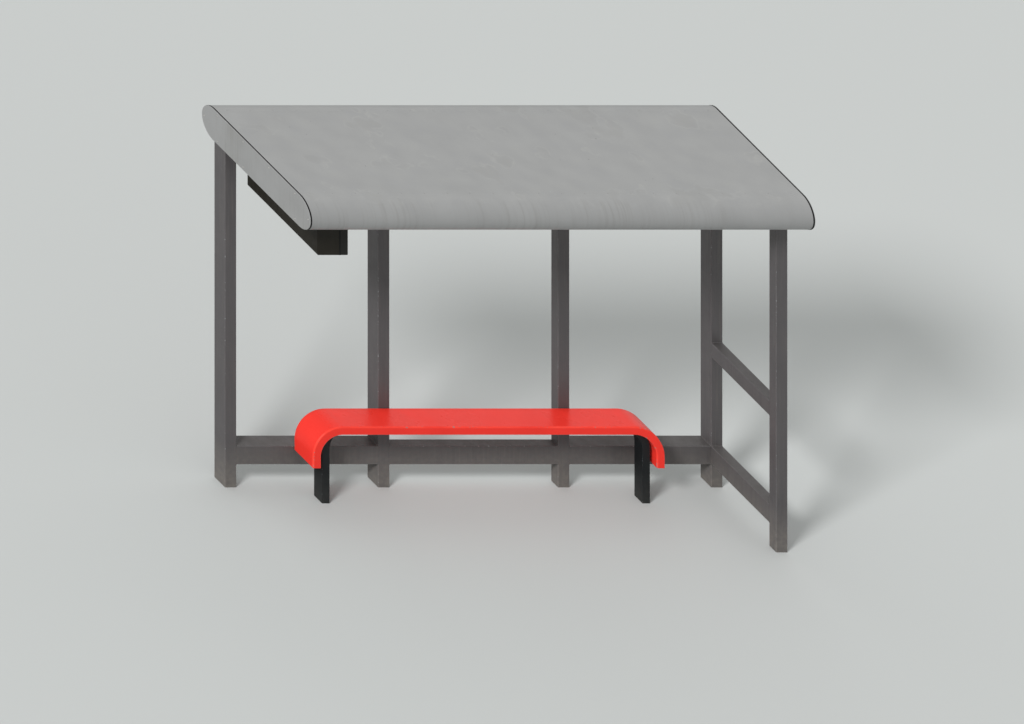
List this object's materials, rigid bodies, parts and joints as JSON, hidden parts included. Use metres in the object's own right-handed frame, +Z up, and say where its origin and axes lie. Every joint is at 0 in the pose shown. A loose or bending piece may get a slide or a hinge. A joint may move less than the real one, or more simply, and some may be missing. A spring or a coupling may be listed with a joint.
{
  "type": "bus shelter",
  "caption": "Open bus shelter with a flat bullnosed roof on box-section posts, low rails, a bench with bent-down ends and a display hung under the roof.",
  "frame": {"origin": "on the ground under the middle of the roof, at the bottom centre of the whole shelter's box", "axes": "+X along the shelter to the side with the rails, +Y from the open front to the back, +Z up"},
  "size_m": [3.3, 1, 2.42],
  "materials": {
    "frame_paint": "dark warm grey powder coat on steel box section",
    "roof_structure": "mill finish extrusion, hidden inside the roof",
    "roof_sheet": "mid grey powder coat on aluminium sheet",
    "display_case": "near black powder coat on aluminium sheet",
    "display_glass": "tinted flat glass",
    "display_screen": "dark screen, switched off",
    "seat_paint": "bright red powder coat on a steel sheet section",
    "leg_paint": "black powder coat on steel plate"
  },
  "bodies": {
    "root": {"rear_post_1": "frame_paint", "rear_post_2": "frame_paint", "rear_post_3": "frame_paint", "rear_post_4": "frame_paint", "front_post": "frame_paint", "rear_rail_left": "frame_paint", "rear_rail_middle": "frame_paint", "rear_rail_right": "frame_paint", "side_rail_lower": "frame_paint", "side_rail_upper": "frame_paint", "post_head_1": "frame_paint", "post_head_2": "frame_paint", "post_head_3": "frame_paint", "post_head_4": "frame_paint", "post_head_front": "frame_paint", "roof_beam_1": "roof_structure", "roof_beam_2": "roof_structure", "roof_beam_3": "roof_structure", "roof_beam_4": "roof_structure", "roof_edge_rail_front": "roof_structure", "roof_edge_rail_rear": "roof_structure", "roof_top": "roof_sheet", "roof_nosing_front": "roof_sheet", "roof_nosing_rear": "roof_sheet", "roof_end_left": "roof_sheet", "roof_end_right": "roof_sheet", "soffit_left": "roof_sheet", "soffit_middle": "roof_sheet", "soffit_right": "roof_sheet", "display_mount": "display_case", "display_housing": "display_case", "display_door": "display_case", "display_glass_pane": "display_glass", "display_screen": "display_screen", "bench_seat": "seat_paint", "bench_leg_left": "leg_paint", "bench_leg_right": "leg_paint"}
  },
  "joints": []
}
